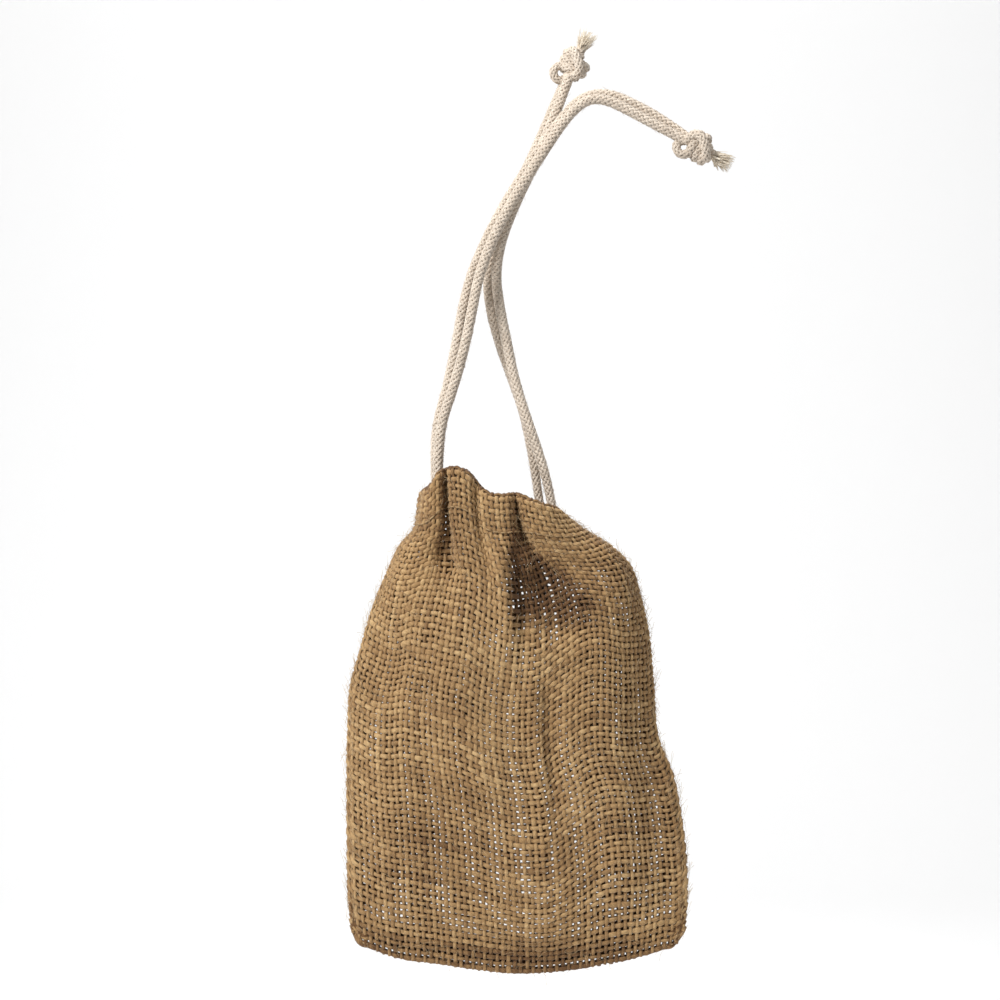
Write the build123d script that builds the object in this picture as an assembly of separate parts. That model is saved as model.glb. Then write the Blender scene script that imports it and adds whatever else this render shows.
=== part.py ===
"""Jute drawstring pouch, 120 x 170 mm cut size, hanging gathered shut from its two cotton drawstrings.

Frame: +X across the pouch, -Y out of its front, +Z up. The origin is where a hand holds the four strands.
Each drawstring goes once round the mouth channel and leaves it on its own side as two strands, which end
in one overhand knot. The left cord keeps to y < 0 above the mouth and the right cord to y > 0.
"""
from build123d import *
import math
import os

# ---- driving dimensions, mm ------------------------------------------------------------------------
cloth = 1.4                 # jute cloth, crimped yarn and all
cord_d = 3.2                # braided cotton drawstring
strand_half_gap = 1.85      # each strand of a pair lies this far from the pair's mid-line in Y
seam_width = 7.0            # turned-in edge inside a side or bottom seam
side_allowance_half, bottom_allowance_half = 0.8, 0.7    # half the thickness of the two layers in a seam
side_gap, bottom_gap = 1.2, 1.0     # a turned-in edge lies this far off the cloth it is turned in from
seam_top, seam_foot = -108.0, -200.0    # z between which the side seams have turned-in edges
stitch = (2.6, 0.8)         # stitch length along the seam, thread thickness
stitch_depth = 2.4          # how far a stitch reaches through the cloth
stitch_pitch = 4.2
stitch_inset = 2.2          # from the cloth's inside to the seam's row

# The mouth ring is tilted: it stands higher on the left.
rim_centre = (5.0, -63.5)
rim_tilt = 17.6             # degrees, down to the right
rim_half = (22.5, 14.4)     # half width and half depth, outside of the cloth
channel_height = 11.5
tunnel_outer = (20.4, 11.8)
tunnel_inner = (10.2, 5.3)
mouth_half = (9.3, 4.4)     # the hole that is left inside the gathers
tunnel_wall = 1.2           # cloth above and below the tunnel the cords run in
exit_gap = 4.0              # half of the unsewn slit at each side seam
channel_stitches, channel_row_start, channel_row_sweep = 9, 32, 116     # count, and degrees round the mouth
channel_row_outset, channel_row_lift = 0.9, 0.6     # the row lies outside the tunnel and above its foot
lane_depth = {"right": 3.6, "left": 7.5}    # each cord's lane below the rim
lane = [(13.4, 6.3), (7.4, 8.6), (0.0, 9.3), (-6.6, 8.4), (-11.4, 5.4), (-13.2, 1.8)]     # half of its turn

# Outside of the pouch below the rim: left end (x, z), right end (x, z), half depth.
body_levels = [
    ((-19.8, -69.0), (30.0, -79.0), 15.2),
    ((-22.2, -80.0), (45.0, -84.0), 16.0),
    ((-27.5, -89.0), (51.5, -94.0), 16.5),
    ((-35.0, -106.0), (54.8, -106.0), 16.0),
    ((-40.4, -126.0), (57.2, -126.0), 14.0),
    ((-42.0, -158.0), (63.6, -158.0), 11.0),
    ((-42.0, -185.0), (67.6, -185.0), 8.0),
    ((-41.6, -205.0), (68.2, -205.0), 5.0),
    ((-41.6, -224.0), (68.2, -224.0), 1.8),
]

# Bottom edge: a shallow arc between the two corners; the left corner is cut off, the right one rounded.
bottom_left, bottom_mid, bottom_right = (-35.5, -212.0), (14.0, -218.8), (61.0, -211.2)
left_cut_top = (-42.5, -202.5)
corner_radius, corner_turn = 7.5, 72
bottom_wall = 1.6

# Each drawstring's two strands run as a pair from the channel exit up to the hand and on to the knot.
# Mid-line of the pair, and how far each strand lies beside it: (x, y, z, beside).
left_route = [
    (-12.6, 0.0, -54.5, 0.0), (-12.7, 0.0, -43.5, 0.1), (-9.2, -1.6, -32.0, 0.5), (-6.2, -3.4, -19.0, 1.1),
    (-3.6, -3.8, -7.0, 1.5), (-0.8, -3.8, 4.0, 1.3), (4.6, -3.8, 16.5, 0.9), (11.6, -3.8, 29.5, 0.8),
    (19.6, -3.8, 42.0, 0.8), (27.5, -3.8, 53.5, 0.6), (34.2, -3.8, 60.6, 0.3), (41.5, -3.9, 61.8, 0.4),
    (50.5, -4.1, 57.4, 1.2), (59.0, -4.3, 52.4, 0.9), (67.0, -4.7, 47.0, 0.3),
]
right_route = [
    (20.2, 0.0, -64.5, 0.9), (19.3, 0.0, -53.0, 1.1), (15.9, 1.8, -39.8, 0.2), (11.9, 3.4, -28.0, 0.6),
    (8.6, 3.8, -17.0, 1.2), (6.0, 3.8, -6.5, 1.5), (4.6, 3.8, 4.0, 1.3), (6.6, 3.8, 15.0, 0.9),
    (11.2, 3.8, 26.5, 0.8), (16.6, 3.8, 38.0, 0.8), (21.8, 3.8, 49.5, 0.8), (26.0, 3.9, 60.0, 0.6),
    (29.4, 4.4, 68.2, 0.3),
]
grip_run = {"left": 4, "right": 5}      # the hand holds the pair on the run that starts at this point

left_knot_at, left_knot_turn = (70.0, -5.45, 44.4), -33.0
right_knot_at, right_knot_turn = (31.2, 5.45, 72.0), 65.0
knot_size = (10.5, 10.0, 11.5)
tip_length, tip_sunk, tip_beside = 5.5, 1.6, 1.9    # out of the knot, inside it, off its middle


# ---- helpers ----------------------------------------------------------------------------------------
def ring_plane(depth=0.0):
    """Plane of the mouth ring, depth mm below the rim."""
    tilt = math.radians(rim_tilt)
    x = rim_centre[0] - depth * math.sin(tilt)
    z = rim_centre[1] - depth * math.cos(tilt)
    across = (math.cos(tilt), 0, -math.sin(tilt))
    return Plane(origin=(x, 0, z), x_dir=across, z_dir=(math.sin(tilt), 0, math.cos(tilt)))


def ring_point(u, y, depth):
    """Point of the mouth ring's own frame: u along the mouth, depth below the rim."""
    spot = ring_plane(depth).from_local_coords(Vector(u, y, 0))
    return (spot.X, spot.Y, spot.Z)


def level_section(left, right, half_depth, inset):
    """One ellipse across the pouch between its two side points, inset by a wall thickness."""
    dx, dz = right[0] - left[0], right[1] - left[1]
    half_width = math.hypot(dx, dz) / 2
    across = Vector(dx, 0, dz).normalized()
    plane = Plane(
        origin=((left[0] + right[0]) / 2, 0, (left[1] + right[1]) / 2),
        x_dir=across,
        z_dir=Vector(-across.Z, 0, across.X),
    )
    return plane * Ellipse(half_width - inset, max(half_depth - inset, 0.3))


def rim_ends(lift):
    """The ring's left and right end, lift mm above the rim."""
    left = ring_point(-rim_half[0], 0, -lift)
    right = ring_point(rim_half[0], 0, -lift)
    return (left[0], left[2]), (right[0], right[2])


def pouch_loft(inset, lift):
    """Solid inside of the cloth surface that lies inset mm within the outside one."""
    left, right = rim_ends(lift)
    levels = [(left, right, rim_half[1])] + body_levels
    return loft([level_section(*level, inset) for level in levels], ruled=True)


def outline_prism(rise):
    """Everything above the bottom edge, the edge raised by rise mm."""
    with BuildPart() as prism:
        with BuildSketch(Plane.XZ):
            with BuildLine():
                def up(p):
                    return (p[0], p[1] + rise)
                low = ThreePointArc(up(bottom_left), up(bottom_mid), up(bottom_right))
                corner = JernArc(low @ 1, low % 1, corner_radius, corner_turn)
                Polyline(corner @ 1, (80, -198), (80, -30), (-60, -30), (-60, -150), up(left_cut_top),
                         up(bottom_left))
            make_face()
        extrude(amount=40, both=True)
    return prism.part


def front_half(shape):
    return shape & Pos(0, -50, -140) * Box(300, 100, 300)


def back_half(shape):
    return shape & Pos(0, 50, -140) * Box(300, 100, 300)


def tube(name, points, end_share=0.45):
    """Round cord along straight runs joined by tangent arcs, each as large as its two runs allow."""
    spots = [Vector(*p) for p in points]
    radii = []
    for before, here, after in zip(spots, spots[1:], spots[2:]):
        turn = math.radians((here - before).get_angle(after - here))
        shorter = min((here - before).length, (after - here).length)
        radii.append(end_share * shorter / math.tan(turn / 2))
    path = FilletPolyline(*spots, radius=radii) if radii else Line(*spots)
    profile = Plane(origin=path @ 0, z_dir=path % 0) * Circle(cord_d / 2)
    solid = sweep(profile, path=path)
    expected = math.pi * cord_d ** 2 / 4 * path.length
    print(f"{name}: length {path.length:.1f}, radii {[round(r, 1) for r in radii]},"
          f" volume ratio {solid.volume / expected:.3f}")
    return solid


# ---- jute cloth ---------------------------------------------------------------------------------------
def make_panels():
    outside = pouch_loft(0, 0) & outline_prism(0)
    inside = pouch_loft(cloth, 0.4) & outline_prism(bottom_wall)
    shell = outside - inside
    return front_half(shell), back_half(shell), inside


def make_hems(inside):
    """The top edges folded in and sewn down: each hem is half of the channel the cords run in."""
    slab = ring_plane(channel_height) * extrude(Rectangle(120, 120), amount=channel_height)
    block = inside & slab
    block -= ring_plane(channel_height + 1) * extrude(Ellipse(*mouth_half), amount=channel_height + 2)
    ring = Ellipse(*tunnel_outer) - Ellipse(*tunnel_inner)
    tunnel = extrude(ring, amount=channel_height - 2 * tunnel_wall)
    block -= ring_plane(channel_height - tunnel_wall) * tunnel
    block -= ring_plane(channel_height) * Box(120, 2 * exit_gap, 4 * channel_height)
    return front_half(block), back_half(block)


def side_at(z, side):
    """x of the cloth's inside at one side and height."""
    levels = [level for level in body_levels if level[side][1] < seam_top + 10]
    for upper, lower in zip(levels, levels[1:]):
        (x0, z0), (x1, z1) = upper[side], lower[side]
        if z1 <= z <= z0:
            x = x0 + (x1 - x0) * (z - z0) / (z1 - z0)
            return x + cloth if side == 0 else x - cloth
    raise ValueError(z)


def make_side_allowance(side):
    """Turned-in edges of both panels, lying together inside the side seam."""
    inward = 1 if side == 0 else -1
    heights = [seam_top, -126.0, -158.0, -185.0, seam_foot]
    edge = [(side_at(z, side) + inward * side_gap, z) for z in heights]
    raw = [(x + inward * seam_width, z) for x, z in reversed(edge)]
    face = Plane.XZ * make_face(Polyline(*edge, *raw, close=True))
    return extrude(face, amount=side_allowance_half, both=True)


def bottom_arc(rise):
    """The bottom edge raised by rise mm, a little short of both corners."""
    short = 4
    return ThreePointArc(
        (bottom_left[0] + short, bottom_left[1] + rise),
        (bottom_mid[0], bottom_mid[1] + rise),
        (bottom_right[0] - short, bottom_right[1] + rise),
    )


def make_bottom_allowance():
    low, high = bottom_arc(bottom_wall + bottom_gap), bottom_arc(bottom_wall + seam_width - 0.6)
    face = make_face(Curve() + [low, high, Line(low @ 0, high @ 0), Line(low @ 1, high @ 1)])
    return extrude(Plane.XZ * face, amount=bottom_allowance_half, both=True)


# ---- thread --------------------------------------------------------------------------------------------
def stitch_row(spots, depth):
    """Separate stitches, each (x, y, z, slope in degrees about Y)."""
    return Compound(children=[
        Location((x, y, z), (0, slope, 0)) * Solid.make_box(
            stitch[0], depth, stitch[1], Plane((-stitch[0] / 2, -depth / 2, -stitch[1] / 2)))
        for x, y, z, slope in spots
    ])


def make_side_stitching(side):
    inward = 1 if side == 0 else -1
    top = seam_top - 2
    count = int((top - seam_foot) / stitch_pitch)
    heights = [top - i * stitch_pitch for i in range(count)]
    return stitch_row([(side_at(z, side) + inward * stitch_inset, 0, z, 90) for z in heights], stitch_depth)


def make_bottom_stitching():
    arc = bottom_arc(bottom_wall + 2.0)
    count = int(arc.length / stitch_pitch)
    spots = []
    for i in range(count):
        at = (i + 0.5) / count
        along = arc % at
        spots.append(((arc @ at).X, 0, (arc @ at).Y, -math.degrees(math.atan2(along.Y, along.X))))
    return stitch_row(spots, stitch_depth - 0.2)


def make_channel_stitching(y_side):
    """Row that closes the channel: each stitch goes through the hem's foot and the panel."""
    spots = []
    for i in range(channel_stitches):
        turn = math.radians(channel_row_start + channel_row_sweep * i / (channel_stitches - 1))
        u = (tunnel_outer[0] + channel_row_outset) * math.cos(turn)
        y = (tunnel_outer[1] + channel_row_outset) * math.sin(turn) * y_side
        x, y, z = ring_point(u, y, channel_height - channel_row_lift)
        spots.append((x, y, z, rim_tilt))
    return stitch_row(spots, stitch_depth)


# ---- drawstrings ----------------------------------------------------------------------------------------
def strand_points(side, place):
    """Points of one free strand: the pair's mid-line, moved in Y and to one side across the pair."""
    route = left_route if side == "left" else right_route
    sign = -1 if place == "front" else 1
    points = []
    for i, (x, y, z, beside) in enumerate(route):
        before, after = route[max(i - 1, 0)], route[min(i + 1, len(route) - 1)]
        along_x, along_z = after[0] - before[0], after[2] - before[2]
        length = math.hypot(along_x, along_z)
        across = (-along_z / length, along_x / length)
        points.append((
            x + sign * beside * across[0],
            y + sign * strand_half_gap,
            z + sign * beside * across[1],
        ))
    return points


def middle(p, q):
    return tuple((a + b) / 2 for a, b in zip(p, q))


def below_exit(points, depth):
    """Where a strand's first run, carried on downwards, reaches its lane in the channel."""
    leave, above = Vector(*points[0]), Vector(*points[1])
    rim = ring_plane()
    height = rim.to_local_coords(leave).Z
    fall = height - rim.to_local_coords(above).Z
    return tuple(leave + (leave - above) * ((depth + height) / -fall))


def channel_run(side):
    """One drawstring's turn round the mouth, from its front strand's exit to its back strand's."""
    sign = -1 if side == "left" else 1
    depth = lane_depth[side]
    front = [ring_point(sign * u, -y, depth) for u, y in lane]
    back = [ring_point(sign * u, y, depth) for u, y in reversed(lane)]
    front_strand, back_strand = strand_points(side, "front"), strand_points(side, "back")
    start = [front_strand[0], below_exit(front_strand, depth)]
    finish = [below_exit(back_strand, depth), back_strand[0]]
    return tube(f"{side} channel run", start + front + back + finish)


def leg_strand(side, place):
    points = strand_points(side, place)
    held = grip_run[side]
    return tube(f"{side} {place} leg", points[:held + 1] + [middle(points[held], points[held + 1])])


def end_strand(side, place):
    points = strand_points(side, place)
    held = grip_run[side]
    return tube(f"{side} {place} end", [middle(points[held], points[held + 1])] + points[held + 1:])


def knot_location(side):
    spot = left_knot_at if side == "left" else right_knot_at
    turn = left_knot_turn if side == "left" else right_knot_turn
    return Location(spot, (0, -turn, 0))


def knot(side):
    """Overhand knot as one closed lump."""
    a, b, c = knot_size
    lump = Solid.make_sphere(0.5)
    return knot_location(side) * lump.transform_geometry(Matrix([[a, 0, 0, 0], [0, b, 0, 0], [0, 0, c, 0]]))


def frayed_tips(side):
    """Two cut strand ends that stick out of the knot."""
    tips = []
    for offset in (-tip_beside, tip_beside):
        start = knot_location(side) * Location((knot_size[0] / 2 - tip_sunk, offset, 0))
        tips.append(start * Rot(0, 90, 0) * Solid.make_cylinder(cord_d / 2, tip_length + tip_sunk))
    return Compound(children=tips)


# ---- write ------------------------------------------------------------------------------------------------
def write(name, shape):
    export_step(shape, f"parts/{name}.step")
    print(name, "written")


os.makedirs("parts", exist_ok=True)
front_panel, back_panel, pouch_inside = make_panels()
front_hem, back_hem = make_hems(pouch_inside)
write("front_panel", front_panel)
write("back_panel", back_panel)
write("front_channel_hem", front_hem)
write("back_channel_hem", back_hem)
for side_index, side_name in enumerate(("left", "right")):
    write(f"{side_name}_seam_allowance", make_side_allowance(side_index))
    write(f"{side_name}_seam_stitching", make_side_stitching(side_index))
    write(f"{side_name}_drawstring_channel_run", channel_run(side_name))
    for place_name in ("front", "back"):
        write(f"{side_name}_drawstring_{place_name}_leg", leg_strand(side_name, place_name))
        write(f"{side_name}_drawstring_{place_name}_end", end_strand(side_name, place_name))
    write(f"{side_name}_drawstring_knot", knot(side_name))
    write(f"{side_name}_drawstring_frayed_tips", frayed_tips(side_name))
write("bottom_seam_allowance", make_bottom_allowance())
write("bottom_seam_stitching", make_bottom_stitching())
write("front_channel_stitching", make_channel_stitching(-1))
write("back_channel_stitching", make_channel_stitching(1))
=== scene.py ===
import math
import bpy
import numpy as np
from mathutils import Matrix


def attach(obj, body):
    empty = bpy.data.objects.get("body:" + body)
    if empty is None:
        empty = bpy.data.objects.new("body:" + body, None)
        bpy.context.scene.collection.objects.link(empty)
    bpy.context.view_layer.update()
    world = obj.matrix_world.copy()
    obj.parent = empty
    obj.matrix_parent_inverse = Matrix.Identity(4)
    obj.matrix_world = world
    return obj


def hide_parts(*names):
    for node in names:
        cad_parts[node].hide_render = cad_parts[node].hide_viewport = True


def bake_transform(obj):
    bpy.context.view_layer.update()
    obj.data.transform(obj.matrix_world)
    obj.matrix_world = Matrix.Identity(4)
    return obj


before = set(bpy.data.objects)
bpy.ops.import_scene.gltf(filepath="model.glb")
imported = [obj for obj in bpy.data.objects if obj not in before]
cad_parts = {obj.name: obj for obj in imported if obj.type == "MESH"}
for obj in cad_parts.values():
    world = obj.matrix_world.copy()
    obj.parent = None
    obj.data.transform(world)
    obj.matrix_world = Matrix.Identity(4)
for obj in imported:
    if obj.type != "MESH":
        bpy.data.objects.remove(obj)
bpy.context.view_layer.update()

# Jute drawstring pouch hanging from its two cotton drawstrings. Lengths in this file are millimetres in
# the frame's axes, and newPiece turns them into metres.
mm = 0.001
dice = np.random.default_rng(12)
print("frame loaded")


def newPiece(name, material, points, faces, uvs=None, tone=None):
    # points (n, 3) in mm; faces a list of (m, 3) or (m, 4) index arrays; uvs in the order of the face corners
    mesh = bpy.data.meshes.new(name)
    corners = np.concatenate([f.ravel() for f in faces]).astype(np.int32)
    sizes = np.concatenate([np.full(len(f), f.shape[1], np.int32) for f in faces])
    mesh.vertices.add(len(points))
    mesh.vertices.foreach_set("co", (points * mm).astype(np.float32).ravel())
    mesh.loops.add(len(corners))
    mesh.loops.foreach_set("vertex_index", corners)
    mesh.polygons.add(len(sizes))
    mesh.polygons.foreach_set("loop_start", np.concatenate([[0], np.cumsum(sizes)[:-1]]).astype(np.int32))
    mesh.update(calc_edges=True)
    mesh.polygons.foreach_set("use_smooth", np.full(len(sizes), True))
    if uvs is not None:
        layer = mesh.uv_layers.new(name="yarn")
        layer.data.foreach_set("uv", uvs.astype(np.float32).ravel())
    if tone is not None:
        layer = mesh.attributes.new("tone", "FLOAT", "POINT")
        layer.data.foreach_set("value", tone.astype(np.float32))
    mesh.materials.append(material)
    mesh.validate()
    piece = bpy.data.objects.new(name, mesh)
    bpy.context.scene.collection.objects.link(piece)
    return piece


def addPiece(name, data, material, body, slot, *nodes):
    # a piece from tubes or joined that rides on one body and stands for the CAD nodes named
    piece = newPiece(name, material, *data)
    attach(piece, body)
    if nodes:
        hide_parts(*nodes)
    return piece


def unit(v):
    return v / np.maximum(np.linalg.norm(v, axis=-1, keepdims=True), 1e-9)


def smoothStep(x):
    x = np.clip(x, 0, 1)
    return x * x * (3 - 2 * x)


def throughPoints(keys, values, at):
    # smooth curve through the points: cubic between each two, with the slope of their neighbours
    keys, values, at = np.asarray(keys, float), np.asarray(values, float), np.asarray(at, float)
    slope = np.gradient(values, keys, axis=0)
    i = np.clip(np.searchsorted(keys, at, side="right") - 1, 0, len(keys) - 2)
    h = keys[i + 1] - keys[i]
    u = np.clip((at - keys[i]) / h, 0, 1)
    shape = (-1,) + (1,) * (values.ndim - 1)
    flat = lambda a: a.reshape(shape) if values.ndim > 1 else a
    u, h = flat(u.ravel()), flat(h.ravel())
    i = i.ravel()
    out = ((2 * u ** 3 - 3 * u ** 2 + 1) * values[i] + (u ** 3 - 2 * u ** 2 + u) * h * slope[i]
           + (3 * u ** 2 - 2 * u ** 3) * values[i + 1] + (u ** 3 - u ** 2) * h * slope[i + 1])
    return out.reshape(at.shape + values.shape[1:])


def tubes(centres, normals, wide, high, sides, toneOf, under=0.0):
    # Tubes side by side: each ring is centre + wide cos(a) across + high sin(a) up, carried along the line.
    # centres, normals (tubes, points, 3); wide, high, toneOf (tubes, points). Under is painted shade: it
    # lowers the tone on the side away from up.
    count, length = centres.shape[:2]
    along = unit(np.gradient(centres, axis=1))
    across = unit(np.cross(along, normals))
    up = np.cross(across, along)
    angle = np.arange(sides) * 2 * np.pi / sides
    rings = (centres[:, :, None] + wide[:, :, None, None] * np.cos(angle)[:, None] * across[:, :, None]
             + high[:, :, None, None] * np.sin(angle)[:, None] * up[:, :, None])
    points = np.concatenate([rings.reshape(-1, 3), centres[:, 0], centres[:, -1]])
    t, p, s = np.meshgrid(np.arange(count), np.arange(length - 1), np.arange(sides), indexing="ij")
    spot = lambda a, b, c: (a * length + b) * sides + c % sides
    quads = np.stack([spot(t, p, s), spot(t, p + 1, s), spot(t, p + 1, s + 1), spot(t, p, s + 1)], axis=-1)
    first = count * length * sides
    t2, s2 = np.meshgrid(np.arange(count), np.arange(sides), indexing="ij")
    startCap = np.stack([first + t2, spot(t2, 0, s2), spot(t2, 0, s2 + 1)], axis=-1)
    endCap = np.stack([first + count + t2, spot(t2, length - 1, s2 + 1), spot(t2, length - 1, s2)], axis=-1)
    steps = np.linalg.norm(np.diff(centres, axis=1), axis=2)
    run = np.concatenate([np.zeros((count, 1)), np.cumsum(steps, axis=1)], axis=1)
    run = run + 37.0 * np.arange(count)[:, None]        # so that no two yarns have the same streaks
    u = np.stack([run[t, p], run[t, p + 1], run[t, p + 1], run[t, p]], axis=-1)
    v = np.stack([s, s, s + 1, s + 1], axis=-1) / sides
    uvs = np.stack([u, v], axis=-1).reshape(-1, 2)
    caps = np.zeros((2 * count * sides * 3, 2))
    caps[:, 0] = np.concatenate([np.repeat(run[:, 0], sides * 3), np.repeat(run[:, -1], sides * 3)])
    # painted shade: the side of each tube away from up gets a lower tone
    shade = under * np.maximum(-np.sin(angle), 0)
    tone = np.concatenate([(toneOf[..., None] - shade).ravel(), toneOf[:, 0], toneOf[:, -1]])
    faces = [quads.reshape(-1, 4), startCap.reshape(-1, 3), endCap.reshape(-1, 3)]
    return points, faces, np.concatenate([uvs, caps]), tone


def joined(parts):
    # several (points, faces, uvs, tone) results as one
    points, quads, tris, quadUvs, triUvs, tone, shift = [], [], [], [], [], [], 0
    for p, f, uv, to in parts:
        cut = len(f[0]) * 4
        points.append(p)
        quads.append(f[0] + shift)
        tris += [g + shift for g in f[1:]]
        quadUvs.append(uv[:cut])
        triUvs.append(uv[cut:])
        tone.append(to)
        shift += len(p)
    return (np.concatenate(points), [np.concatenate(quads), np.concatenate(tris)],
            np.concatenate(quadUvs + triUvs), np.concatenate(tone))


def wander(count, length, reach, knots):
    # slow random drift along each yarn: smooth curve through random heights, reach at most
    keys = np.linspace(0, 1, knots)
    at = np.linspace(0, 1, length)
    return throughPoints(keys, dice.uniform(-reach, reach, (knots, count)), at).T


def nodeIn(tree, kind, **settings):
    node = tree.nodes.new(kind)
    for key, value in settings.items():
        setattr(node, key, value)
    return node


def fibreGroup():
    # spun fibre: streaks along the yarn that turn round it, and a height to match
    group = bpy.data.node_groups.new("spun fibre", "ShaderNodeTree")
    for name, kind, value in (("Streak", "NodeSocketFloat", 5.0), ("Twist", "NodeSocketFloat", 0.35)):
        socket = group.interface.new_socket(name=name, in_out="INPUT", socket_type=kind)
        socket.default_value = value
    group.interface.new_socket(name="Mask", in_out="OUTPUT", socket_type="NodeSocketFloat")
    group.interface.new_socket(name="Height", in_out="OUTPUT", socket_type="NodeSocketFloat")
    inside = nodeIn(group, "NodeGroupInput")
    out = nodeIn(group, "NodeGroupOutput")
    uv = nodeIn(group, "ShaderNodeUVMap", uv_map="yarn")
    split = nodeIn(group, "ShaderNodeSeparateXYZ")
    group.links.new(uv.outputs[0], split.inputs[0])
    turn = nodeIn(group, "ShaderNodeMath", operation="MULTIPLY_ADD")      # v + twist times u
    group.links.new(split.outputs[0], turn.inputs[0])
    group.links.new(inside.outputs["Twist"], turn.inputs[1])
    group.links.new(split.outputs[1], turn.inputs[2])
    angle = nodeIn(group, "ShaderNodeMath", operation="MULTIPLY")
    angle.inputs[1].default_value = 2 * math.pi
    group.links.new(turn.outputs[0], angle.inputs[0])
    around = [nodeIn(group, "ShaderNodeMath", operation=f) for f in ("COSINE", "SINE")]
    place = nodeIn(group, "ShaderNodeCombineXYZ")
    for i, node in enumerate(around):
        group.links.new(angle.outputs[0], node.inputs[0])
        wide = nodeIn(group, "ShaderNodeMath", operation="MULTIPLY")
        group.links.new(node.outputs[0], wide.inputs[0])
        group.links.new(inside.outputs["Streak"], wide.inputs[1])
        group.links.new(wide.outputs[0], place.inputs[i])
    group.links.new(split.outputs[0], place.inputs[2])
    noise = nodeIn(group, "ShaderNodeTexNoise")
    noise.inputs["Scale"].default_value = 0.9
    noise.inputs["Detail"].default_value = 5.0
    noise.inputs["Roughness"].default_value = 0.62
    group.links.new(place.outputs[0], noise.inputs["Vector"])
    contrast = nodeIn(group, "ShaderNodeMapRange")
    contrast.inputs["From Min"].default_value = 0.28
    contrast.inputs["From Max"].default_value = 0.72
    group.links.new(noise.outputs[0], contrast.inputs["Value"])
    group.links.new(contrast.outputs[0], out.inputs["Mask"])
    group.links.new(noise.outputs[0], out.inputs["Height"])
    return group


fibre = fibreGroup()


def fibreMaterial(name, dark, middle, light, streak, twist, bump, roughness, sheen):
    # colour = ramp over tone, fibre streaks and slow patches
    material = bpy.data.materials.new(name)
    material.use_nodes = True
    tree = material.node_tree
    shader = tree.nodes["Principled BSDF"]
    spun = nodeIn(tree, "ShaderNodeGroup", node_tree=fibre)
    spun.inputs["Streak"].default_value = streak
    spun.inputs["Twist"].default_value = twist
    tone = nodeIn(tree, "ShaderNodeAttribute", attribute_name="tone")
    spotCoords = nodeIn(tree, "ShaderNodeTexCoord")
    patch = nodeIn(tree, "ShaderNodeTexNoise")
    patch.inputs["Scale"].default_value = 38.0
    patch.inputs["Detail"].default_value = 3.0
    tree.links.new(spotCoords.outputs["Object"], patch.inputs["Vector"])
    level = tone.outputs["Fac"]
    for mask, weight in ((spun.outputs["Mask"], 0.42), (patch.outputs[0], 0.30)):
        more = nodeIn(tree, "ShaderNodeMath", operation="MULTIPLY_ADD")
        more.inputs[1].default_value = weight
        tree.links.new(mask, more.inputs[0])
        tree.links.new(level, more.inputs[2])
        level = more.outputs[0]
    ramp = nodeIn(tree, "ShaderNodeValToRGB")
    first, last = ramp.color_ramp.elements[0], ramp.color_ramp.elements[1]
    first.position, first.color = 0.18, (*dark, 1)
    last.position, last.color = 0.92, (*light, 1)
    ramp.color_ramp.elements.new(0.55).color = (*middle, 1)
    tree.links.new(level, ramp.inputs[0])
    tree.links.new(ramp.outputs[0], shader.inputs["Base Color"])
    lift = nodeIn(tree, "ShaderNodeBump")
    lift.inputs["Strength"].default_value = bump
    lift.inputs["Distance"].default_value = 0.00012
    tree.links.new(spun.outputs["Height"], lift.inputs["Height"])
    tree.links.new(lift.outputs[0], shader.inputs["Normal"])
    shader.inputs["Roughness"].default_value = roughness
    shader.inputs["Specular IOR Level"].default_value = 0.25
    shader.inputs["Sheen Weight"].default_value = sheen
    shader.inputs["Sheen Roughness"].default_value = 0.5
    return material


juteYarn = fibreMaterial("jute yarn", (0.12, 0.056, 0.018), (0.345, 0.205, 0.086), (0.60, 0.41, 0.20),
                         streak=2.2, twist=0.22, bump=0.9, roughness=0.72, sheen=0.15)
juteHair = fibreMaterial("jute hair", (0.30, 0.19, 0.09), (0.52, 0.37, 0.20), (0.75, 0.60, 0.38),
                         streak=1.0, twist=0.0, bump=0.2, roughness=0.6, sheen=0.2)
cottonYarn = fibreMaterial("cotton braid", (0.40, 0.32, 0.24), (0.62, 0.53, 0.435), (0.82, 0.73, 0.62),
                           streak=2.0, twist=0.5, bump=0.6, roughness=0.8, sheen=0.3)
cottonFray = fibreMaterial("cotton fray", (0.50, 0.39, 0.27), (0.72, 0.62, 0.48), (0.88, 0.80, 0.68),
                           streak=1.4, twist=0.3, bump=0.3, roughness=0.8, sheen=0.35)
seamThread = fibreMaterial("seam thread", (0.16, 0.09, 0.035), (0.30, 0.19, 0.09), (0.45, 0.31, 0.16),
                           streak=1.4, twist=1.2, bump=0.5, roughness=0.6, sheen=0.1)
print("materials made")


studio = {
    "lens": 100.0,              # mm
    "viewWidth": 320.0,         # width of the view at the pouch, mm
    "aim": (7.4, 0.0, -67.9),
    "floorZ": -300.0,
    "frontY": -420.0,
    "backY": 700.0,
    "halfWidth": 650.0,
    "sweepRadius": 600.0,
    "wallHeight": 5000.0,
    "worldLight": 0.17,
    # name: place, size, power and what it is aimed at
    "lights": {
        "key": ((-560, -540, 500), 300, 10.3, (0, 0, -110)),
        "fill": ((900, -800, 300), 700, 1.5, (10, 0, -120)),
        "back wall": ((0, 300, 900), 1400, 13, (0, 1100, -100)),
    },
}


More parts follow.
